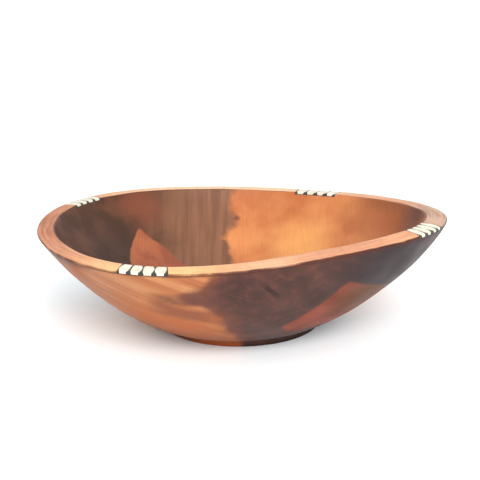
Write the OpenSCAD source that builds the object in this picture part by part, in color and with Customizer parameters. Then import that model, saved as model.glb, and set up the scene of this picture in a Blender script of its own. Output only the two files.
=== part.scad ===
// Hand-carved oval wooden bowl with four rows of bone ovals let into its rim.
// Millimetres. Z is up, the origin is the centre of the foot's underside, and the
// long diameter of the bowl lies along X.

/* [Bowl outline] */
// Mean diameter over the rim's outer edge
rim_d = 300; // [240:1:340]
// How far the long half-diameter is over the mean and the short one is under it
oval = 8.3; // [0:0.1:12]
// How far the end at +X is drawn out and the end at -X is blunted
egg = 1.6; // [0:0.1:4]
// How far four shallow corners stand out from the oval
corners = 1.2; // [0:0.1:3]
// How far the rim's middle lies behind the foot's middle
rim_shift = 1.7; // [0:0.1:4]

/* [Rim height] */
// Mean height of the rim above the table
rim_h = 82.6; // [70:0.1:95]
// Half of the rise from the rim's low side to its high side
tilt = 3.6; // [0:0.1:5]
// Half of the warp that lifts two opposite sides and drops the other two
saddle = 4.1; // [0:0.1:5]

/* [Rim face] */
// Mean width of the rim's flat face
rim_w = 15; // [12:0.5:18]
// How much wider the face is at +X and narrower at -X
rim_w_change = 1.3; // [0:0.1:2]
// Mean drop of the rim's outer edge below its inner edge
rim_fall = 0.8; // [0:0.1:2]
// How much more the outer edge drops at the front than at the sides
rim_fall_change = 0.5; // [0:0.1:1]
// Height of the rim's crown over the line between its edges
rim_crown = 0.3; // [0:0.1:0.6]
// Length worn off each side of the rim's outer arris
outer_wear = 1.8; // [1:0.1:3]
// Length worn off each side of the rim's inner arris
inner_wear = 1.5; // [1:0.1:3]

/* [Wall and foot] */
// Radius of the foot
foot_r = 63; // [50:1:70]
// Height of the foot
foot_h = 4.5; // [3:0.5:8]
// Bevel round the foot's lower edge
foot_bevel = 1; // [0.5:0.1:2]
// Height of the bowl's floor above the table, at its middle
floor_z = 14; // [12:0.5:20]
// How steeply the outer wall meets the rim
outer_lean = 1.17; // [1:0.01:1.4]
// How flat the outer wall leaves the foot, where less is flatter
outer_belly = 0.70; // [0.6:0.01:0.8]
// How much leaner the outer wall is at +X than at -X
lean_change = 0.12; // [0:0.01:0.2]
// How much flatter the outer wall is at -X than at +X
belly_change = 0.06; // [0:0.01:0.1]
// How steeply the inner wall meets the rim
inner_lean = 1.2; // [1:0.01:1.4]
// How flat the floor is, where less is flatter
inner_belly = 0.38; // [0.35:0.01:0.5]

/* [Inlay] */
// Bone ovals in each row
ovals = 4; // [3:1:5]
// Length of rim that one oval takes in the front, right, back and left rows
oval_pitch = [8.7, 8.5, 9.8, 8.5]; // [8:0.1:10]
// Width of the black line between two ovals where they are closest
black_line = 0.6; // [0.4:0.1:1.2]
// How far the ovals' tips would run past the rim's edges in the front, right, back and left rows
oval_overrun = [1.4, 0.6, 1.5, 1.5]; // [0:0.1:4]
// How square the ovals are, where 2 is an ellipse
oval_power = 2.2; // [2:0.1:3]
// Depth of the slot that holds a row
slot_depth = 2.1; // [2:0.1:4]
// Thickness of black filler under the bone
filler_floor = 0.5; // [0.4:0.1:1]
// Black filler between the last oval of a row and the end of its slot
slot_margin = 0.5; // [0.3:0.1:1]

/* [Hidden] */
ROWS = ["front", "right", "back", "left"];
row_at = [-117.3, -25.5, 59.5, 153.5];  // azimuth of each row's middle
row_lean = [19, -17, 0, 0];             // how far its ovals turn from square across the rim
function oval_name(row, i) = str("bone_", ROWS[row], "_", i + 1);

oval_at = 3.3;          // azimuth of the long diameter
egg_at = 3.2;           // azimuth of the drawn-out end
corners_at = -21;       // azimuth of one of the four corners
tilt_at = -40;          // azimuth of the rim's high side
saddle_at = -33;        // azimuth of one of the two lifted sides

step_a = 3;             // azimuth between two stations round the bowl
wall_steps = 13;        // stations up each wall
wall_grading = 1.6;     // how much closer they lie where the wall curves most, near its foot
wear_steps = 3;         // chords across each worn arris
face_steps = 4;         // chords across the rim's face
oval_points = 28;       // corners of an oval's outline
slot_steps = 8;         // lengths that a slot is cut in, to follow the rim
rim_piece_a = 27;       // how much of the rim's round a row is cut from
foot_overlap = 1;       // how far the wall reaches down into the foot
foot_step = 0.98;       // radius of the wall where it leaves the foot, over foot_r
clear = 5;              // how far a cutter runs past what it cuts

// ---- the rim: plan radius, height, width and fall at azimuth a

function rim_r(a) = rim_d / 2 + rim_shift * sin(a) + oval * cos(2 * (a - oval_at))
    + egg * cos(3 * (a - egg_at)) + corners * cos(4 * (a - corners_at));

function rim_z(a) = rim_h + tilt * cos(a - tilt_at) + saddle * cos(2 * (a - saddle_at));

function rim_width(a) = rim_w + rim_w_change * cos(a);

function fall(a) = rim_fall - rim_fall_change * sin(a);

// ---- the section at azimuth a, as points [radius, height]

function lerp(p, q, t) = p + (q - p) * t;

function bend(p, corner, q, t) = lerp(lerp(p, corner, t), lerp(corner, q, t), t);

function reach(s, lean, belly) = pow(1 - pow(1 - s, lean), belly);

// Outer wall, from s = 0 at the foot to s = 1 at the rim's outer arris.
function outer_wall(a, s) = [
    lerp(foot_step * foot_r, rim_r(a),
        reach(s, outer_lean + lean_change * cos(a), outer_belly + belly_change * cos(a))),
    lerp(foot_h, rim_z(a) - fall(a), s)
];

// Inner wall, from s = 0 at the middle of the floor to s = 1 at the rim's inner arris.
function inner_wall(a, s) = [
    (rim_r(a) - rim_width(a)) * reach(s, inner_lean, inner_belly),
    lerp(floor_z, rim_z(a), s)
];

// Rim face, from t = 0 at the outer arris to t = 1 at the inner one.
function face(a, t) = lerp(outer_wall(a, 1), inner_wall(a, 1), t) + [0, 4 * rim_crown * t * (1 - t)];

// Share of a wall or of the face that a worn arris takes.
function wall_end(wear) = 1 - wear / rim_h;
function face_end(a, wear) = wear / rim_width(a);

// The rim from the outer wall over the face to the inner wall.
function rim_points(a) = concat(
    [for (i = [0:wear_steps - 1])
        bend(outer_wall(a, wall_end(outer_wear)), outer_wall(a, 1),
            face(a, face_end(a, outer_wear)), i / wear_steps)],
    [for (i = [0:face_steps])
        face(a, lerp(face_end(a, outer_wear), 1 - face_end(a, inner_wear), i / face_steps))],
    [for (i = [1:wear_steps])
        bend(face(a, 1 - face_end(a, inner_wear)), inner_wall(a, 1),
            inner_wall(a, wall_end(inner_wear)), i / wear_steps)]
);

function wall_share(i) = pow(i / wall_steps, wall_grading);

function section(a) = concat(
    [[foot_step * foot_r, foot_h - foot_overlap]],
    [for (i = [0:wall_steps - 1]) outer_wall(a, wall_share(i) * wall_end(outer_wear))],
    rim_points(a),
    [for (i = [wall_steps - 1:-1:1]) inner_wall(a, wall_share(i) * wall_end(inner_wear))]
);

function place(p, a) = [p[0] * cos(a), p[0] * sin(a), p[1]];

// ---- solids from rows of points

// A solid through rings of equal length, closed by a flat face below and by a point above.
module domed_solid(rings, top) {
    n = len(rings[0]);
    m = len(rings);
    polyhedron(
        points = concat([for (ring = rings, p = ring) p], [top]),
        faces = concat(
            [[for (j = [0:n - 1]) j]],
            [for (i = [0:m - 2], j = [0:n - 1])
                let (k = (j + 1) % n) [i * n + j, (i + 1) * n + k, i * n + k]],
            [for (i = [0:m - 2], j = [0:n - 1])
                let (k = (j + 1) % n) [i * n + j, (i + 1) * n + j, (i + 1) * n + k]],
            [for (j = [0:n - 1]) [(m - 1) * n + j, m * n, (m - 1) * n + (j + 1) % n]]
        )
    );
}

// A solid through loops of equal length, closed by the first loop and the last. Each
// loop runs counter-clockwise for someone who looks along the sweep.
module swept_solid(loops) {
    n = len(loops[0]);
    m = len(loops);
    polyhedron(
        points = [for (loop = loops, p = loop) p],
        faces = concat(
            [[for (j = [n - 1:-1:0]) j]],
            [for (i = [0:m - 2], j = [0:n - 1])
                let (k = (j + 1) % n) [i * n + j, i * n + k, (i + 1) * n + k]],
            [for (i = [0:m - 2], j = [0:n - 1])
                let (k = (j + 1) % n) [i * n + j, (i + 1) * n + k, (i + 1) * n + j]],
            [[for (j = [0:n - 1]) (m - 1) * n + j]]
        )
    );
}

// ---- the bowl

module wall() {
    sections = [for (a = [0:step_a:360 - step_a]) [for (p = section(a)) place(p, a)]];
    domed_solid([for (i = [0:len(sections[0]) - 1]) [for (s = sections) s[i]]], [0, 0, floor_z]);
}

module foot() {
    rotate_extrude()
        polygon([[0, 0], [foot_r - foot_bevel, 0], [foot_r, foot_bevel], [foot_r, foot_h], [0, foot_h]]);
}

module bowl_body() {
    color([0.48, 0.28, 0.18])
        difference() {
            union() {
                wall();
                foot();
            }
            for (row = [0:3]) slot(row);
        }
}

// ---- the inlay

// The rim's middle line, its outward normal in plan, and the height of its face over [x, y].
function mid_r(a) = rim_r(a) - rim_width(a) / 2;
function normal_a(a) = a - atan((mid_r(a + 1) - mid_r(a - 1)) / (mid_r(a) * PI / 90));
function face_z(p) =
    let (a = atan2(p[1], p[0]))
    rim_z(a) - fall(a) * (0.5 + (norm(p) - mid_r(a)) / rim_width(a));

// Azimuth of the point u along a row from its middle, and the way its ovals point there.
function row_a(row, u) = row_at[row] + u / mid_r(row_at[row]) * 180 / PI;
function across_a(row, u) = normal_a(row_a(row, u)) + row_lean[row];
function heading(a) = [cos(a), sin(a)];

// The point u along a row and v outward from the rim's middle line, in plan and in space.
function row_xy(row, u, v) =
    mid_r(row_a(row, u)) * heading(row_a(row, u)) + v * heading(across_a(row, u));
function row_point(row, u, v, h) =
    let (p = row_xy(row, u, v)) [p[0], p[1], face_z(p) + h];

function row_half(row) = ovals * oval_pitch[row] / 2 + slot_margin;

// The slot for a row, through the rim from side to side.
module slot(row) {
    out = rim_w / 2 + clear;
    swept_solid([for (i = [0:slot_steps])
        let (u = lerp(-1, 1, i / slot_steps) * row_half(row))
        [row_point(row, u, -out, -slot_depth), row_point(row, u, out, -slot_depth),
            row_point(row, u, out, clear), row_point(row, u, -out, clear)]]);
}

// The part of the rim that a row lies in, with the same facets as the bowl.
module rim_piece(row) {
    first = round((row_at[row] - rim_piece_a / 2) / step_a) * step_a;
    swept_solid([for (a = [first:step_a:first + rim_piece_a])
        concat(
            [place(outer_wall(a, wall_share(wall_steps - 1) * wall_end(outer_wear)), a)],
            [for (p = rim_points(a)) place(p, a)],
            [place(inner_wall(a, wall_share(wall_steps - 1) * wall_end(inner_wear)), a)]
        )]);
}

// Outline of an oval, as [outward across the rim, along the row].
function power(x, k) = sign(x) * pow(abs(x), k);
function oval_outline(row) = [for (j = [0:oval_points - 1])
    let (a = 360 * (j + 0.5) / oval_points)
    [(rim_width(row_at[row]) / 2 + oval_overrun[row]) * power(cos(a), 2 / oval_power),
        (oval_pitch[row] * cos(row_lean[row]) - black_line) / 2 * power(sin(a), 2 / oval_power)]];

// Slope of the rim's face from p towards azimuth a.
function slope(p, a) = atan((face_z(p + heading(a)) - face_z(p - heading(a))) / 2);

module oval_prism(row, i) {
    u = (i - (ovals - 1) / 2) * oval_pitch[row];
    p = row_xy(row, u, 0);
    a = across_a(row, u);
    translate([p[0], p[1], face_z(p)])
        rotate([0, 0, a])
            rotate([slope(p, a + 90), -slope(p, a), 0])
                translate([0, 0, filler_floor - slot_depth])
                    linear_extrude(slot_depth + clear)
                        polygon(oval_outline(row));
}

module bone(row, i) {
    color([0.95, 0.93, 0.86])
        intersection() {
            rim_piece(row);
            oval_prism(row, i);
        }
}

module filler(row) {
    color([0.08, 0.07, 0.06])
        difference() {
            intersection() {
                rim_piece(row);
                slot(row);
            }
            for (i = [0:ovals - 1]) oval_prism(row, i);
        }
}

bowl_body();
for (row = [0:3]) filler(row);
for (row = [0:3], i = [0:ovals - 1]) bone(row, i);
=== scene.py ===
import math
import random
import bpy
import bmesh
import numpy as np
from mathutils import Matrix, Vector, kdtree, noise


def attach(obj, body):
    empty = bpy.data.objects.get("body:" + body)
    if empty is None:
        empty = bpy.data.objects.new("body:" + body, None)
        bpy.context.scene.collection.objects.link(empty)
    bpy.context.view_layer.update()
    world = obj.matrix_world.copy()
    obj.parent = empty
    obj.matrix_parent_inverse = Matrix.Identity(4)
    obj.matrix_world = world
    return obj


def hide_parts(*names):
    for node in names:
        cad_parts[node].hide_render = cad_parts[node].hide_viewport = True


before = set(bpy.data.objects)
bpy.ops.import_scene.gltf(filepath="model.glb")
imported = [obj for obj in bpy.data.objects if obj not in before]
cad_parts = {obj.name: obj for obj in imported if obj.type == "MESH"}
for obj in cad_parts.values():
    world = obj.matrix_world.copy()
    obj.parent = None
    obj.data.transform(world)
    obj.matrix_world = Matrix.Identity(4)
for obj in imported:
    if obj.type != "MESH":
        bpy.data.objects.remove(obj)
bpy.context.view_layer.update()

MM = 0.001
TAU = 2 * math.pi

# ---------------------------------------------------------------- the bowl's shape
# The same curves as in the CAD model, in millimetres: azimuth 0 is +X.

RIM_RADIUS = 150.0
# Waves of the rim's outline, two, three and four to a turn: height, and a crest's azimuth
OVAL, OVAL_AT = 8.3, 3.3
EGG, EGG_AT = 1.6, 3.2
CORNERS, CORNERS_AT = 1.2, -21.0
RIM_SHIFT = 1.7         # of the whole outline, to the back
RIM_HEIGHT = 82.6
# Waves of the rim's height, one and two to a turn
TILT, TILT_AT = 3.6, -40.0
SADDLE, SADDLE_AT = 4.1, -33.0
RIM_WIDTH, RIM_WIDTH_CHANGE = 15.0, 1.3     # wider at the right end
FALL, FALL_CHANGE = 0.8, 0.5                # of the rim's face outward, more at the front
CROWN = 0.3
OUTER_WEAR, INNER_WEAR = 1.8, 1.5           # depth that the two arrises are worn round
FOOT_RADIUS, FOOT_HEIGHT, FOOT_BEVEL, FOOT_STEP = 63.0, 4.5, 1.0, 0.98
FLOOR_HEIGHT = 14.0
# Powers of the wall curves, see reach()
OUTER_LEAN, OUTER_BELLY = 1.17, 0.70
LEAN_CHANGE, BELLY_CHANGE = 0.12, 0.06
INNER_LEAN, INNER_BELLY = 1.2, 0.38

# One value for each row: azimuth of its middle, lean of its ovals, and their spacing along the rim
ROWS = ["front", "right", "back", "left"]
ROW_AT = [-117.3, -25.5, 59.5, 153.5]
ROW_LEAN = [19.0, -17.0, 0.0, 0.0]
OVALS = 4
OVAL_PITCH = [8.7, 8.5, 9.8, 8.5]
BLACK_LINE = 0.6        # of filler between two ovals
OVAL_OVERRUN = [1.4, 0.6, 1.5, 1.5]     # past the rim's face at each end, before the arris is worn
OVAL_POWER = 2.2        # 2 is a true ellipse
SLOT_DEPTH = 2.1
FILLER_FLOOR = 0.5      # of filler under the bone
SLOT_MARGIN = 0.5       # of filler at each end of a row
FILLER_SINK = 0.15      # how far the filed filler lies under the bone


def cosd(a):
    return np.cos(np.radians(a))


def sind(a):
    return np.sin(np.radians(a))


def rim_r(a):
    return (RIM_RADIUS + RIM_SHIFT * sind(a) + OVAL * cosd(2 * (a - OVAL_AT))
            + EGG * cosd(3 * (a - EGG_AT)) + CORNERS * cosd(4 * (a - CORNERS_AT)))


def rim_z(a):
    return RIM_HEIGHT + TILT * cosd(a - TILT_AT) + SADDLE * cosd(2 * (a - SADDLE_AT))


def rim_width(a):
    return RIM_WIDTH + RIM_WIDTH_CHANGE * cosd(a)


def fall(a):
    return FALL - FALL_CHANGE * sind(a)


def mid_r(a):
    return rim_r(a) - rim_width(a) / 2


def normal_a(a):
    return a - np.degrees(np.arctan((mid_r(a + 1) - mid_r(a - 1)) / (mid_r(a) * math.pi / 90)))


def face_z(x, y):
    a = np.degrees(np.arctan2(y, x))
    return rim_z(a) - fall(a) * (0.5 + (np.hypot(x, y) - mid_r(a)) / rim_width(a))


def reach(s, lean, belly):
    return (1 - (1 - s) ** lean) ** belly


def outer_wall(a, s):
    start = FOOT_STEP * FOOT_RADIUS
    g = reach(s, OUTER_LEAN + LEAN_CHANGE * cosd(a), OUTER_BELLY + BELLY_CHANGE * cosd(a))
    return np.array([start + (rim_r(a) - start) * g,
                     FOOT_HEIGHT + (rim_z(a) - fall(a) - FOOT_HEIGHT) * s])


def inner_wall(a, s):
    return np.array([(rim_r(a) - rim_width(a)) * reach(s, INNER_LEAN, INNER_BELLY),
                     FLOOR_HEIGHT + (rim_z(a) - FLOOR_HEIGHT) * s])


def face(a, t):
    p, q = outer_wall(a, 1.0), inner_wall(a, 1.0)
    return p + (q - p) * t + np.array([0 * a, 0 * a + 4 * CROWN * t * (1 - t)])


def bend(p, corner, q, t):
    return (1 - t) ** 2 * p + 2 * t * (1 - t) * corner + t ** 2 * q


def rim_points(a, wear_steps=7, face_steps=10):
    """Section of the rim, from the outer wall over the face to the inner wall."""
    out_t, in_t = OUTER_WEAR / rim_width(a), 1 - INNER_WEAR / rim_width(a)
    points = [bend(outer_wall(a, 1 - OUTER_WEAR / RIM_HEIGHT), outer_wall(a, 1.0), face(a, out_t), t)
              for t in np.arange(wear_steps) / wear_steps]
    points += [face(a, out_t + (in_t - out_t) * t) for t in np.linspace(0, 1, face_steps + 1)]
    points += [bend(face(a, in_t), inner_wall(a, 1.0), inner_wall(a, 1 - INNER_WEAR / RIM_HEIGHT), t)
               for t in np.arange(1, wear_steps + 1) / wear_steps]
    return points


def place(section, a):
    """Rings (r, z), each an array over azimuth, to points (ring, azimuth, xyz)."""
    r = np.array([p[0] + 0 * a for p in section])
    z = np.array([p[1] + 0 * a for p in section])
    return np.stack([r * cosd(a), r * sind(a), z], -1)


def mesh_object(name, verts_mm, faces):
    me = bpy.data.meshes.new(name)
    me.from_pydata([tuple(v * MM) for v in verts_mm], [], faces)
    me.validate()
    ob = bpy.data.objects.new(name, me)
    bpy.context.scene.collection.objects.link(ob)
    return ob


def ring_faces(rings, n, closed=True):
    """Quads between rings of n points each, counter-clockwise seen from outside."""
    faces = []
    for i in range(rings - 1):
        for j in range(n if closed else n - 1):
            k = (j + 1) % n
            faces.append((i * n + j, i * n + k, (i + 1) * n + k, (i + 1) * n + j))
    return faces


# ---------------------------------------------------------------- solids

STEP = 1                # degrees between two stations round the bowl
SEED = 11               # of everything that is uneven by hand
SLOW_WAVE, SLOW_HEIGHT = 0.022, 0.45      # of the wandering of hand-carved surfaces, per mm and mm
QUICK_WAVE, QUICK_HEIGHT = 0.06, 0.12
OVAL_POINTS = 56
OVAL_WOBBLE = 0.16      # most that one wave moves an oval's outline
OVAL_TRIM = 0.06        # taken off all round an oval
TOOL_TOP = 5            # how far the cutting solids stand over the rim
STRETCH_FROM = 0.86     # height up the wall, of 1, that the stretches of rim start at
WALL_RINGS = 56


def section_outside(a):
    """The foot and the outer wall, from the middle of the foot's underside up to the rim."""
    foot = [(r, 0.0) for r in (6.0, 18.0, 32.0, 46.0, 56.0, 60.5)]
    foot += [(FOOT_RADIUS - FOOT_BEVEL + FOOT_BEVEL * math.sin(t), FOOT_BEVEL - FOOT_BEVEL * math.cos(t))
             for t in np.linspace(0, math.pi / 2, 5)]
    foot += [(FOOT_RADIUS, z) for z in (2.0, 3.0, 3.9)]
    foot += [(FOOT_RADIUS - 0.12, 4.3), (FOOT_RADIUS - 0.4, FOOT_HEIGHT)]
    rings = [np.array([r + 0 * a, z + 0 * a]) for r, z in foot]
    top = 1 - OUTER_WEAR / RIM_HEIGHT
    rings += [outer_wall(a, top * t ** 1.5) for t in np.arange(WALL_RINGS) / WALL_RINGS]
    return rings


def section_inside(a):
    """The inner wall, from under the rim down to near the middle of the floor."""
    top = 1 - INNER_WEAR / RIM_HEIGHT
    return [inner_wall(a, top * t ** 2.4) for t in np.arange(WALL_RINGS - 1, 0, -1) / WALL_RINGS]


def unevenness(points):
    """Moves points, in mm, the little that a hand-carved surface wanders. The foot stays flat."""
    out = points.copy()
    for i, p in enumerate(points):
        v = Vector(p)
        d = (noise.noise_vector(v * SLOW_WAVE) * SLOW_HEIGHT
             + noise.noise_vector(v * QUICK_WAVE) * QUICK_HEIGHT)
        keep = min(1.0, max(0.0, (p[2] - 3.0) / 12.0))
        out[i] += np.array(d) * keep
    return out


def build_bowl():
    a = np.arange(0, 360, STEP, dtype=float)
    parts = [section_outside(a), rim_points(a), section_inside(a)]
    rings = [ring for part in parts for ring in part]
    grid = place(rings, a)
    n = len(a)
    verts = grid.reshape(-1, 3)
    count = len(verts)
    bottom, top = np.array([0, 0, 0.0]), np.array([0, 0, FLOOR_HEIGHT])
    verts = np.vstack([unevenness(verts), [bottom, top]])
    faces = ring_faces(len(rings), n)
    faces += [(count, (j + 1) % n, j) for j in range(n)]
    last = count - n
    faces += [(last + j, last + (j + 1) % n, count + 1) for j in range(n)]
    bowl = mesh_object("bowl", verts, faces)
    # where each vertex belongs: 0 outside, 1 on the rim's face, 2 inside
    ramp = np.concatenate([np.zeros(len(parts[0])),
                           np.clip(np.arange(8) / 5.0, 0, 1),
                           np.ones(len(parts[1]) - 15),
                           1 + np.clip(np.arange(7) / 4.0, 0, 1),
                           np.full(len(parts[2]), 2.0)])
    return bowl, verts, np.append(np.repeat(ramp, n), [0.0, 2.0])


def loops_solid(name, loops):
    """Closed solid through loops of equal length, each counter-clockwise looking along the sweep."""
    m, n = len(loops), len(loops[0])
    verts = np.array(loops, float).reshape(-1, 3)
    faces = [tuple(reversed(f)) for f in ring_faces(m, n)]
    faces.append(tuple(range(n)))
    faces.append(tuple(range((m - 1) * n, m * n))[::-1])
    ob = mesh_object(name, unevenness(verts), faces)
    bm = bmesh.new()
    bm.from_mesh(ob.data)
    bmesh.ops.recalc_face_normals(bm, faces=bm.faces)
    # triangles are always flat: with larger uneven faces, a cut sometimes went wrong
    bmesh.ops.triangulate(bm, faces=bm.faces)
    bm.to_mesh(ob.data)
    bm.free()
    return ob


def row_a(row, u):
    return ROW_AT[row] + math.degrees(u / mid_r(ROW_AT[row]))


def across_a(row, u):
    return normal_a(row_a(row, u)) + ROW_LEAN[row]


def row_point(row, u, v, h):
    a, c = row_a(row, u), across_a(row, u)
    x = mid_r(a) * cosd(a) + v * cosd(c)
    y = mid_r(a) * sind(a) + v * sind(c)
    return np.array([x, y, face_z(x, y) + h])


def slot_solid(row):
    half = OVALS * OVAL_PITCH[row] / 2 + SLOT_MARGIN
    out = RIM_WIDTH / 2 + 5
    corners = [(-out, -SLOT_DEPTH), (out, -SLOT_DEPTH), (out, TOOL_TOP), (-out, TOOL_TOP)]
    return loops_solid("slot", [[row_point(row, u, v, h) for v, h in corners]
                                for u in np.linspace(-half, half, 13)])


def rim_solid(row, sink=0.0):
    """The stretch of rim that a row lies in, its surface lowered by sink."""
    first = math.floor(ROW_AT[row] - 11)
    loops = []
    for a in np.arange(first, first + 23, STEP, dtype=float):
        section = np.array([outer_wall(a, STRETCH_FROM)] + rim_points(a) + [inner_wall(a, STRETCH_FROM)])
        along = np.gradient(section, axis=0)
        normal = np.stack([along[:, 1], -along[:, 0]], -1)
        normal /= np.linalg.norm(normal, axis=1)[:, None]
        section = section - normal * sink
        loops.append([(r * cosd(a), r * sind(a), z) for r, z in section])
    return loops_solid("rim_stretch", loops)


def oval_solid(row, i, rng):
    """Upright prism of one oval, a little uneven as cut by hand."""
    u = (i - (OVALS - 1) / 2) * OVAL_PITCH[row]
    c = across_a(row, u)
    centre = row_point(row, u, 0, 0)
    out = Vector((cosd(c), sind(c), 0))
    along = Vector((-sind(c), cosd(c), 0))
    for d in (out, along):
        p, q = centre[:2] + np.array(d[:2]), centre[:2] - np.array(d[:2])
        d.z = (face_z(*p) - face_z(*q)) / 2
        d.normalize()
    up = out.cross(along).normalized()
    wobble = [(k, rng.uniform(0, TAU), rng.uniform(0.3, 1.0) * OVAL_WOBBLE) for k in (2, 3, 5)]
    half_w = (OVAL_PITCH[row] * cosd(ROW_LEAN[row]) - BLACK_LINE) / 2
    half_l = rim_width(ROW_AT[row]) / 2 + OVAL_OVERRUN[row]
    outline = []
    for t in np.arange(OVAL_POINTS) / OVAL_POINTS * TAU:
        uneven = sum(size * math.sin(k * t + start) for k, start, size in wobble) - OVAL_TRIM
        e = 2 / OVAL_POWER
        x = (half_l + uneven) * math.copysign(abs(math.cos(t)) ** e, math.cos(t))
        y = (half_w + uneven) * math.copysign(abs(math.sin(t)) ** e, math.sin(t))
        outline.append((x, y))
    loops = []
    for h in (FILLER_FLOOR - SLOT_DEPTH, TOOL_TOP):
        loops.append([np.array(Vector(centre) + out * x + along * y + up * h) for x, y in outline])
    return loops_solid("oval", loops)


def cut(target, tool, operation):
    mod = target.modifiers.new("cut", "BOOLEAN")
    mod.operation = operation
    mod.object = tool
    mod.solver = "EXACT"
    depsgraph = bpy.context.evaluated_depsgraph_get()
    me = bpy.data.meshes.new_from_object(target.evaluated_get(depsgraph))
    target.modifiers.clear()
    old = target.data
    target.data = me
    bpy.data.meshes.remove(old)


def drop(*objects):
    for ob in objects:
        me = ob.data
        bpy.data.objects.remove(ob)
        bpy.data.meshes.remove(me)


def smooth(ob, angle=32):
    """Smooth shading with hard edges where two faces meet at more than the angle."""
    bm = bmesh.new()
    bm.from_mesh(ob.data)
    bmesh.ops.remove_doubles(bm, verts=bm.verts, dist=2e-6)
    bmesh.ops.dissolve_degenerate(bm, dist=1e-6, edges=bm.edges)
    for f in bm.faces:
        f.smooth = True
    for e in bm.edges:
        e.smooth = len(e.link_faces) == 2 and e.calc_face_angle(0) < math.radians(angle)
    bm.to_mesh(ob.data)
    bm.free()


def named(ob, name):
    ob.name = name
    ob.data.name = name
    return ob


def finish_piece(ob, name, node, material):
    named(ob, name)
    smooth(ob)
    ob.data.materials.clear()
    ob.data.materials.append(material)
    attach(ob, "root")
    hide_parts(node)
    return ob


# ---------------------------------------------------------------- where the wood changes colour
# Every field is a distance in mm into its zone, and less than 0 outside it.

def smoothstep(v, lo, hi):
    t = np.clip((v - lo) / (hi - lo), 0, 1)
    return t * t * (3 - 2 * t)


def blend(t, p, q):
    return p + (q - p) * t


def both(p, q, corner=9.0):
    """Where p and q are both positive, with the corner between them rounded."""
    return -corner * np.logaddexp(-p / corner, -q / corner)


def either(p, q, corner=9.0):
    return -both(-p, -q, corner)


def heart_outside(x, y, z):
    """Dark heartwood shows on the front right of the outer wall, and at its back left."""
    front = x + 10 + 0.05 * z + 24 * np.exp(-((z - 59) / 14) ** 2) - 12 * (1 - smoothstep(z, 6, 32))
    right_end = 24 + 0.55 * (z - 40) + 6 * np.sin(z / 9) - y
    left_end = y - 26 + 0.50 * (z - 40) - 6 * np.sin(z / 8 + 1)
    back = 0.30 * (z - 40) - 5 * np.sin(z / 11) - (x + 12)
    return either(both(front, right_end, 6), both(back, left_end))


def heart_inside(x, y, z):
    """Inside, the left half is dark, and a tail of it runs over the floor to the front right."""
    bent = 7 * np.sin(x / 17 + 0.6) + 0.25 * (z - 14)
    edge = x + 6 + 7 * np.exp(-((z - 42) / 8) ** 2)
    left = both(-edge, 1.8 * (y + 72 - 0.30 * (x + 110) + bent))
    tail = both(x + 34 + 0.20 * z + 5 * np.sin(y / 12), 0.38 * (30 - x) - (y + 40) + bent)
    return either(left, tail)


def wedge_outside(x, y, z):
    """Reddish wedge, narrow near the foot and wide up the wall."""
    upper = both(25 + 0.87 * (x - 31) - z, 64 - 0.55 * (x - 76) - z, 2)
    return np.minimum(np.minimum(upper, (z - 17) * 1.2), (x - 31) + 0.35 * (z - 24))


def wedge_inside(x, y, z):
    """The same wedge where it comes out on the inner wall, at the back left."""
    a = np.degrees(np.arctan2(y, x))
    left = (138.0 + 1.0 * (54.5 - z) - a) * 1.9
    right = (a - 137.2 + 0.36 * (55 - z)) * 1.9
    return np.minimum(np.minimum(left, right), 57.5 - z)


def pale_face(x, y, z):
    """The rim's face, filed last and so paler than the walls, up to the worn arrises."""
    a = np.degrees(np.arctan2(y, x))
    across = np.hypot(x, y) - mid_r(a)
    depth = face_z(x, y) - z
    edge = np.minimum(rim_width(a) / 2 - 0.9 - across, rim_width(a) / 2 - 0.8 + across)
    return np.minimum(edge, 1.2 - depth)


def paint_fields(bowl, source, zone):
    """Writes what the wood material needs to know at each vertex."""
    co = np.array([v.co for v in bowl.data.vertices], float) / MM
    tree = kdtree.KDTree(len(source))
    for i, p in enumerate(source):
        tree.insert(p, i)
    tree.balance()
    inside = np.clip(zone[[tree.find(p)[1] for p in co]] - 1, 0, 1)
    x, y, z = co.T
    a = np.degrees(np.arctan2(y, x))
    fields = {
        "inside": inside,
        "heart": blend(inside, heart_outside(x, y, z), heart_inside(x, y, z)),
        "wedge": blend(inside, wedge_outside(x, y, z), wedge_inside(x, y, z)),
        "pale_face": pale_face(x, y, z),
        "from_heart": np.abs(x + 9),
        "across": np.hypot(x, y) - mid_r(a),
        "depth": face_z(x, y) - z,
    }
    for name, values in fields.items():
        layer = bowl.data.attributes.new(name, "FLOAT", "POINT")
        layer.data.foreach_set("value", values.astype(np.float32))


# ---------------------------------------------------------------- materials

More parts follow.
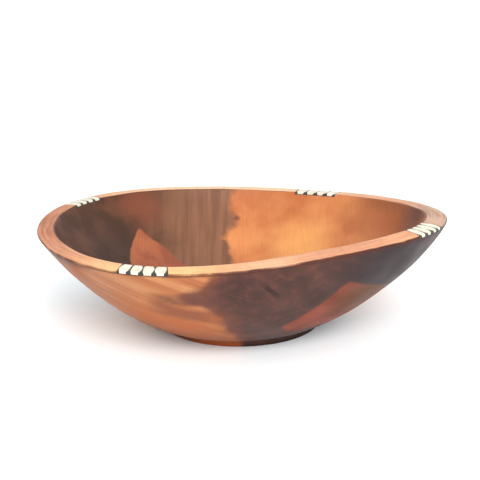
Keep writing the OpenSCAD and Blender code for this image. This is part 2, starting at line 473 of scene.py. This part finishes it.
class Nodes:
    """Short names for building one material's node tree. Its textures work in millimetres."""

    def __init__(self, name):
        self.material = bpy.data.materials.new(name)
        self.material.use_nodes = True
        self.tree = self.material.node_tree
        self.shader = self.tree.nodes["Principled BSDF"]
        metres = self.add("ShaderNodeTexCoord").outputs["Object"]
        self.mm = self.vector("MULTIPLY", metres, (1000, 1000, 1000))

    def add(self, kind, *inputs, **settings):
        node = self.tree.nodes.new(kind)
        for key, value in settings.items():
            setattr(node, key, value)
        for i, value in enumerate(inputs):
            self.plug(node.inputs[i], value)
        return node

    def plug(self, socket, value):
        if isinstance(value, bpy.types.NodeSocket):
            self.tree.links.new(value, socket)
        elif value is not None:
            socket.default_value = value

    def math(self, operation, a, b=None):
        return self.add("ShaderNodeMath", a, b, operation=operation).outputs[0]

    def times(self, first, *others):
        for other in others:
            first = self.math("MULTIPLY", first, other)
        return first

    def vector(self, operation, a, b=None, output=0):
        return self.add("ShaderNodeVectorMath", a, b, operation=operation).outputs[output]

    def attribute(self, name):
        return self.add("ShaderNodeAttribute", attribute_name=name).outputs["Fac"]

    def ramp(self, value, lo, hi, to_lo=0.0, to_hi=1.0):
        node = self.add("ShaderNodeMapRange", value, lo, hi, to_lo, to_hi)
        node.interpolation_type = "SMOOTHSTEP"
        return node.outputs[0]

    def mix(self, factor, a, b, blend_type="MIX"):
        node = self.add("ShaderNodeMix", data_type="RGBA", blend_type=blend_type)
        self.plug(node.inputs[0], factor)
        self.plug(node.inputs[6], a if isinstance(a, bpy.types.NodeSocket) else (*a, 1))
        self.plug(node.inputs[7], b if isinstance(b, bpy.types.NodeSocket) else (*b, 1))
        return node.outputs[2]

    def noise(self, scale, detail=3.0, rough=0.55, shift=0.0, at=None):
        """Noise from 0 to 1. Scale is in blobs per mm, one number or one for each axis."""
        at = self.mm if at is None else at
        if isinstance(scale, tuple):
            at, scale = self.vector("MULTIPLY", at, scale), 1.0
        if shift:
            at = self.vector("ADD", at, (shift, shift, shift))
        node = self.add("ShaderNodeTexNoise")
        self.plug(node.inputs["Vector"], at)
        node.inputs["Scale"].default_value = scale
        node.inputs["Detail"].default_value = detail
        node.inputs["Roughness"].default_value = rough
        return node.outputs["Fac"]

    def near(self, centre, reach):
        """1 at the centre, fading to 0 at the distance reach."""
        away = self.vector("DISTANCE", self.mm, centre, output="Value")
        return self.ramp(away, 0.15 * reach, reach, 1, 0)

    def patch(self, colour, centre, reach, strength, rgb):
        """The colour, with a soft patch of another one round the centre."""
        return self.mix(self.times(self.near(centre, reach), strength), colour, srgb(*rgb))

    def streak(self, start, end, width):
        """1 along the line from start to end, fading to 0 at the given distance from it."""
        start, end = Vector(start), Vector(end)
        along = (end - start).normalized()
        off = self.vector("SUBTRACT", self.mm, tuple((start + end) / 2))
        far = self.vector("DOT_PRODUCT", off, tuple(along), output="Value")
        whole = self.vector("LENGTH", off, output="Value")
        aside = self.math("SQRT", self.math("SUBTRACT", self.times(whole, whole), self.times(far, far)))
        past = self.times(self.math("ABSOLUTE", far), width / (end - start).length * 2)
        return self.ramp(self.math("MAXIMUM", aside, past), 0.3 * width, width, 1, 0)

    def bump(self, height, strength, distance):
        node = self.add("ShaderNodeBump")
        node.inputs["Strength"].default_value = strength
        node.inputs["Distance"].default_value = distance
        self.plug(node.inputs["Height"], height)
        self.plug(self.shader.inputs["Normal"], node.outputs[0])


def srgb(r, g, b):
    return tuple((c / 255 + 0.055) ** 2.4 / 1.055 ** 2.4 for c in (r, g, b))


def wood_material():
    n = Nodes("oiled_wood")
    inside, across, depth = n.attribute("inside"), n.attribute("across"), n.attribute("depth")
    heart, wedge = n.attribute("heart"), n.attribute("wedge")

    # slow and quick wandering of every boundary, in mm
    slow = n.ramp(n.noise(0.03, 2), 0.2, 0.8, -7, 7)
    quick = n.ramp(n.noise(0.10, 3, 0.5, 31), 0.2, 0.8, -1.8, 1.8)
    wander = n.math("ADD", slow, quick)
    heart = n.math("ADD", heart, wander)
    wedge = n.math("ADD", wedge, n.times(wander, 0.30))
    is_heart = n.ramp(n.times(heart, n.ramp(inside, 0, 1, 0.6, 0.9)), -3.5, 3.5)
    is_wedge = n.times(n.ramp(wedge, -1.6, 1.6), is_heart)

    # growth layers: upright inside, sloping along the wall outside
    slope = n.add("ShaderNodeSeparateXYZ", n.mm)
    tilted = n.math("ADD", slope.outputs[2], n.times(slope.outputs[0], 0.41))
    layer_at = n.add("ShaderNodeMix", inside, data_type="FLOAT")
    n.plug(layer_at.inputs[2], tilted)
    n.plug(layer_at.inputs[3], slope.outputs[0])
    at = n.add("ShaderNodeCombineXYZ", layer_at.outputs[0], slope.outputs[1], slope.outputs[2]).outputs[0]
    layers = n.noise((0.15, 0.010, 0.008), 4, 0.6, at=at)
    fibres = n.noise((0.9, 0.04, 0.03), 3, 0.6, 5, at=at)
    blotch = n.noise(0.042, 3, 0.5, 12)
    patch = n.noise(0.018, 2, 0.5, 77)

    # Pale sapwood. Here and below, a patch is a place and a reach in mm, a strength and a colour.
    outside = n.math("SUBTRACT", 1.0, inside)
    pale_in = n.mix(n.ramp(blotch, 0.25, 0.75), srgb(175, 101, 59), srgb(199, 127, 79))
    pale_in = n.mix(n.ramp(layers, 0.50, 0.72, 0, 0.35), pale_in, srgb(184, 98, 58))
    pale_in = n.mix(n.ramp(patch, 0.48, 0.66, 0, 0.25), pale_in, srgb(226, 154, 92))
    # painted highlight: brighter on the lower inner back wall, where the light falls most
    pale_in = n.patch(pale_in, (54, 82, 38), 42, 0.65, (228, 164, 96))
    # painted shade with darker heartwood: the inner wall darkens towards its right end
    pale_in = n.patch(pale_in, (112, 68, 68), 44, 0.45, (150, 90, 56))
    pale_in = n.patch(pale_in, (140, 40, 76), 62, 0.85, (150, 78, 44))
    # painted shade: a darker band just under the rim on the inner right wall
    painted_shade_inner_rim = n.times(n.ramp(depth, 2, 14, 1, 0), n.near((124, 62, 82), 48))
    pale_in = n.mix(n.times(painted_shade_inner_rim, 0.6), pale_in, srgb(132, 78, 48))
    # painted shade with darker heartwood: darkest at the inner right end
    pale_in = n.patch(pale_in, (151, 12, 84), 46, 1.0, (98, 51, 27))
    pale_out = n.mix(n.ramp(layers, 0.34, 0.66), srgb(190, 130, 86), srgb(160, 94, 56))
    pale_out = n.mix(n.ramp(blotch, 0.40, 0.66, 0, 0.5), pale_out, srgb(176, 108, 72))
    pale_out = n.patch(pale_out, (-45, -95, 18), 66, 0.85, (176, 94, 42))
    pale_out = n.patch(pale_out, (-95, -109, 70), 36, 0.45, (166, 106, 70))
    # painted shade: darker at the outer wall's left end, up near the rim
    pale_out = n.patch(pale_out, (-124, -88, 72), 30, 0.8, (142, 70, 18))
    pale_out = n.patch(pale_out, (-62, -62, 12), 38, 0.55, (122, 66, 28))
    pale_out = n.patch(pale_out, (-22, -68, 6), 44, 0.55, (132, 64, 20))
    # painted shade: a darker strip under the rim's left end on the outside
    painted_shade_left_end = n.times(n.ramp(depth, 3, 9, 1, 0), n.near((-128, -72, 74), 56))
    pale_out = n.mix(n.times(painted_shade_left_end, 0.9), pale_out, srgb(92, 56, 36))
    ragged = n.ramp(n.noise(0.07, 2, 0.5, 50), 0.1, 0.45)
    tongue = n.times(n.streak((-66, -114, 54), (-12, -128, 60), 11), ragged)
    pale_out = n.mix(n.times(tongue, 0.85), pale_out, srgb(118, 70, 48))
    band = n.streak((-68, -108, 50), (-6, -112, 38), 12)
    pale_out = n.mix(n.times(band, 0.75), pale_out, srgb(124, 68, 46))
    pale = n.mix(inside, pale_out, pale_in)

    # dark heartwood, lighter inside next to the sapwood
    light_brown = n.mix(n.ramp(layers, 0.35, 0.65), srgb(134, 92, 68), srgb(114, 77, 57))
    deep_brown = n.mix(n.ramp(blotch, 0.36, 0.64), srgb(98, 60, 42), srgb(72, 47, 34))
    from_heart = n.math("ADD", n.attribute("from_heart"), wander)
    brown = n.mix(n.ramp(from_heart, 20, 92), light_brown, deep_brown)
    brown = n.patch(brown, (-88, 100, 72), 30, 0.6, (128, 70, 50))
    brown = n.patch(brown, (-100, 40, 38), 60, 0.85, (60, 44, 36))
    cool = n.mix(n.ramp(blotch, 0.34, 0.66), srgb(84, 50, 43), srgb(68, 43, 38))
    cool = n.mix(n.ramp(layers, 0.54, 0.72, 0, 0.45), cool, srgb(102, 62, 51))
    mottle = n.noise(0.11, 4, 0.65, 63)
    cool = n.mix(n.ramp(mottle, 0.46, 0.66, 0, 0.45), cool, srgb(58, 44, 34))
    cool = n.mix(n.ramp(mottle, 0.50, 0.34, 0, 0.35), cool, srgb(108, 64, 50))
    cool = n.patch(cool, (112, -92, 70), 80, 0.95, (44, 32, 34))
    # painted sheen: greyer towards the outer right end, standing in for the floor's reflection in the finish
    cool = n.patch(cool, (158, -30, 84), 34, 0.8, (74, 60, 62))
    cool = n.mix(n.ramp(heart, 3, 22, 0.55, 0), cool, srgb(122, 68, 50))
    dark = n.mix(inside, cool, brown)
    crack = n.streak((13, -133, 73), (28, -120, 55), 3.0)
    dark = n.mix(n.times(crack, 0.7), dark, srgb(34, 26, 23))
    red_in = n.mix(n.ramp(blotch, 0.35, 0.65), srgb(138, 76, 53), srgb(160, 93, 62))
    red_out = n.mix(n.ramp(blotch, 0.36, 0.64), srgb(136, 60, 36), srgb(114, 50, 31))
    red_out = n.patch(red_out, (93, -77, 48), 46, 1.0, (94, 55, 28))
    red = n.mix(inside, red_out, red_in)
    walls = n.mix(is_heart, pale, dark)
    walls = n.mix(is_wedge, walls, red)
    knot = n.near((-2, 113, 56), 4.2)
    walls = n.mix(n.times(knot, 0.6), walls, srgb(84, 46, 30))

    # painted shade: darker in the corner just under the rim's outer arris, and down at the foot
    under = n.times(n.ramp(depth, 2.2, 3.6, 1, 0), outside, n.ramp(n.noise(0.06, 3), 0.25, 0.6, 0.55, 1))
    walls = n.mix(n.times(under, 0.72), walls, srgb(72, 34, 24))
    # painted light on the foot's front left; painted shade darkens the wall down to the foot's underside
    painted_foot_light = n.near((-16, -62, 1), 34)
    painted_foot_shade = n.ramp(slope.outputs[2], 0.5, 7.5, 0.8, 0)
    painted_foot_shade_colour = n.mix(is_heart, n.mix(painted_foot_light, srgb(84, 42, 24), srgb(130, 54, 22)), srgb(27, 16, 12))
    walls = n.mix(painted_foot_shade, walls, painted_foot_shade_colour)

    # the rim's face, with streaks along it
    run = n.add("ShaderNodeCombineXYZ", n.times(slope.outputs[0], 0.03), n.times(slope.outputs[1], 0.03),
                n.times(across, 0.5)).outputs[0]
    streaks = n.noise(1.0, 4, 0.6, at=run)
    rim = n.mix(n.ramp(streaks, 0.35, 0.65), srgb(196, 132, 98), srgb(212, 156, 118))
    # painted highlight: paler over the back of the rim
    rim = n.patch(rim, (-10, 150, 80), 190, 0.85, (226, 190, 154))
    rim = n.mix(n.times(n.near((-62, -136, 80), 82), n.ramp(streaks, 0.3, 0.6, 0.7, 1)), rim,
                srgb(228, 180, 124))
    rim = n.mix(n.times(n.near((-148, -10, 82), 110), 0.85), rim,
                n.mix(n.ramp(streaks, 0.4, 0.6), srgb(154, 94, 68), srgb(180, 120, 88)))
    rim = n.mix(n.times(n.near((156, 0, 86), 70), 0.9), rim,
                n.mix(n.ramp(streaks, 0.4, 0.6), srgb(158, 124, 102), srgb(190, 157, 134)))
    rim = n.patch(rim, (67, -116, 88), 40, 0.5, (190, 132, 100))
    rim = n.patch(rim, (18, -133, 83), 30, 0.55, (224, 178, 142))
    rim = n.patch(rim, (149, -40, 89), 26, 0.7, (188, 156, 138))
    rim_edge = n.math("ADD", n.attribute("pale_face"), n.ramp(quick, -1.8, 1.8, -0.15, 0.15))
    is_rim = n.ramp(rim_edge, -0.45, 0.45)
    colour = n.mix(is_rim, walls, rim)

    # fine fibres and a few open pores over everything
    fine = n.ramp(fibres, 0.3, 0.7, 0.82, 0.90)
    colour = n.mix(1.0, colour, n.add("ShaderNodeCombineXYZ", fine, fine, fine).outputs[0], "MULTIPLY")
    pores = n.noise((1.6, 0.12, 0.1), 2, 0.5, 90, at=at)
    colour = n.mix(n.ramp(pores, 0.66, 0.78, 0, 0.35), colour, srgb(70, 40, 28))
    n.plug(n.shader.inputs["Base Color"], colour)
    satin = n.ramp(blotch, 0.3, 0.7, 0.40, 0.52)
    n.plug(n.shader.inputs["Roughness"], n.math("ADD", satin, n.times(is_rim, 0.10)))
    n.shader.inputs["Specular IOR Level"].default_value = 0.14
    grain = n.math("ADD", fibres, n.math("SUBTRACT", n.times(layers, 0.6), n.times(pores, 0.5)))
    n.bump(grain, 0.12, 0.0004)
    return n.material


def bone_material():
    n = Nodes("polished_bone")
    cloud = n.noise(0.22, 3, 0.5)
    fine = n.noise((2.2, 2.2, 0.6), 3, 0.6, 9)
    colour = n.mix(n.ramp(cloud, 0.35, 0.7), srgb(202, 198, 180), srgb(190, 181, 160))
    colour = n.mix(n.ramp(fine, 0.60, 0.80, 0, 0.40), colour, srgb(158, 140, 112))
    n.plug(n.shader.inputs["Base Color"], colour)
    n.plug(n.shader.inputs["Roughness"], n.ramp(cloud, 0.3, 0.7, 0.28, 0.42))
    n.bump(fine, 0.1, 0.0002)
    return n.material


def filler_material():
    n = Nodes("black_filler")
    grit = n.noise(1.2, 4, 0.65)
    colour = n.mix(n.ramp(grit, 0.4, 0.7), srgb(30, 26, 22), srgb(62, 50, 40))
    n.plug(n.shader.inputs["Base Color"], colour)
    n.plug(n.shader.inputs["Roughness"], n.ramp(grit, 0.3, 0.7, 0.5, 0.7))
    n.bump(grit, 0.3, 0.0003)
    return n.material


def floor_material():
    n = Nodes("white_floor")
    n.plug(n.shader.inputs["Base Color"], n.mix(n.noise(0.003, 2), (0.90, 0.94, 0.955), (0.915, 0.955, 0.97)))
    n.shader.inputs["Roughness"].default_value = 0.8
    n.shader.inputs["Specular IOR Level"].default_value = 0.2
    return n.material


# ---------------------------------------------------------------- the object

WOOD, BONE, FILLER = wood_material(), bone_material(), filler_material()
rng = random.Random(SEED)
noise.seed_set(SEED)      # unseeded, this noise is different on every run

bowl, source, zone = build_bowl()
slots = [slot_solid(row) for row in range(4)]
for slot in slots:
    cut(bowl, slot, "DIFFERENCE")
smooth(bowl)
paint_fields(bowl, source, zone)
bowl.data.materials.append(WOOD)
named(bowl, "bowl")
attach(bowl, "root")
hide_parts("bowl_body")

for row, name in enumerate(ROWS):
    stretch = rim_solid(row)
    filler = rim_solid(row, FILLER_SINK)
    cut(filler, slots[row], "INTERSECT")
    for i in range(OVALS):
        oval = oval_solid(row, i, rng)
        cut(filler, oval, "DIFFERENCE")
        cut(oval, stretch, "INTERSECT")
        finish_piece(oval, f"oval_{name}_{i + 1}", f"bone_{name}_{i + 1}", BONE)
    finish_piece(filler, f"black_{name}", f"filler_{name}", FILLER)
    drop(stretch)
drop(*slots)

# ---------------------------------------------------------------- floor, light and camera


def build_floor():
    me = bpy.data.meshes.new("floor")
    half = 12.0
    corners = [(-half, -half, 0), (half, -half, 0), (half, half, 0), (-half, half, 0)]
    me.from_pydata(corners, [], [(0, 1, 2, 3)])
    me.materials.append(floor_material())
    floor = bpy.data.objects.new("floor", me)
    bpy.context.scene.collection.objects.link(floor)


def area_light(name, at, target, size, watts, colour=(1, 1, 1)):
    data = bpy.data.lights.new(name, "AREA")
    data.size = size
    data.energy = watts
    data.color = colour
    ob = bpy.data.objects.new(name, data)
    ob.location = at
    ob.rotation_euler = (Vector(target) - Vector(at)).to_track_quat("-Z", "Y").to_euler()
    bpy.context.scene.collection.objects.link(ob)


CAMERA_AT = (0.0, -0.755, 0.2656)
PITCH, YAW, ROLL = 14.855, 0.032, -0.39      # degrees down, right and anticlockwise
LENS = 74.6


def build_camera():
    data = bpy.data.cameras.new("camera")
    data.lens = LENS
    data.sensor_width = 36.0
    cam = bpy.data.objects.new("camera", data)
    bpy.context.scene.collection.objects.link(cam)
    p, w, r = math.radians(PITCH), math.radians(YAW), math.radians(ROLL)
    forward = Vector((math.sin(w) * math.cos(p), math.cos(w) * math.cos(p), -math.sin(p)))
    right = Vector((math.cos(w), -math.sin(w), 0))
    up = right.cross(forward)
    across = right * math.cos(r) + up * math.sin(r)
    above = -right * math.sin(r) + up * math.cos(r)
    pose = Matrix((across, above, -forward)).transposed().to_4x4()
    pose.translation = Vector(CAMERA_AT)
    cam.matrix_world = pose
    bpy.context.scene.camera = cam


def build_world():
    world = bpy.data.worlds.new("studio")
    bpy.context.scene.world = world
    world.use_nodes = True
    world.node_tree.nodes["Background"].inputs[0].default_value = (1, 1, 1, 1)
    world.node_tree.nodes["Background"].inputs[1].default_value = 1.2
    bpy.context.scene.view_settings.view_transform = "Standard"


build_floor()
build_world()
build_camera()
area_light("key", (0.35, -1.35, 0.85), (0, 0, 0.05), 1.0, 28)
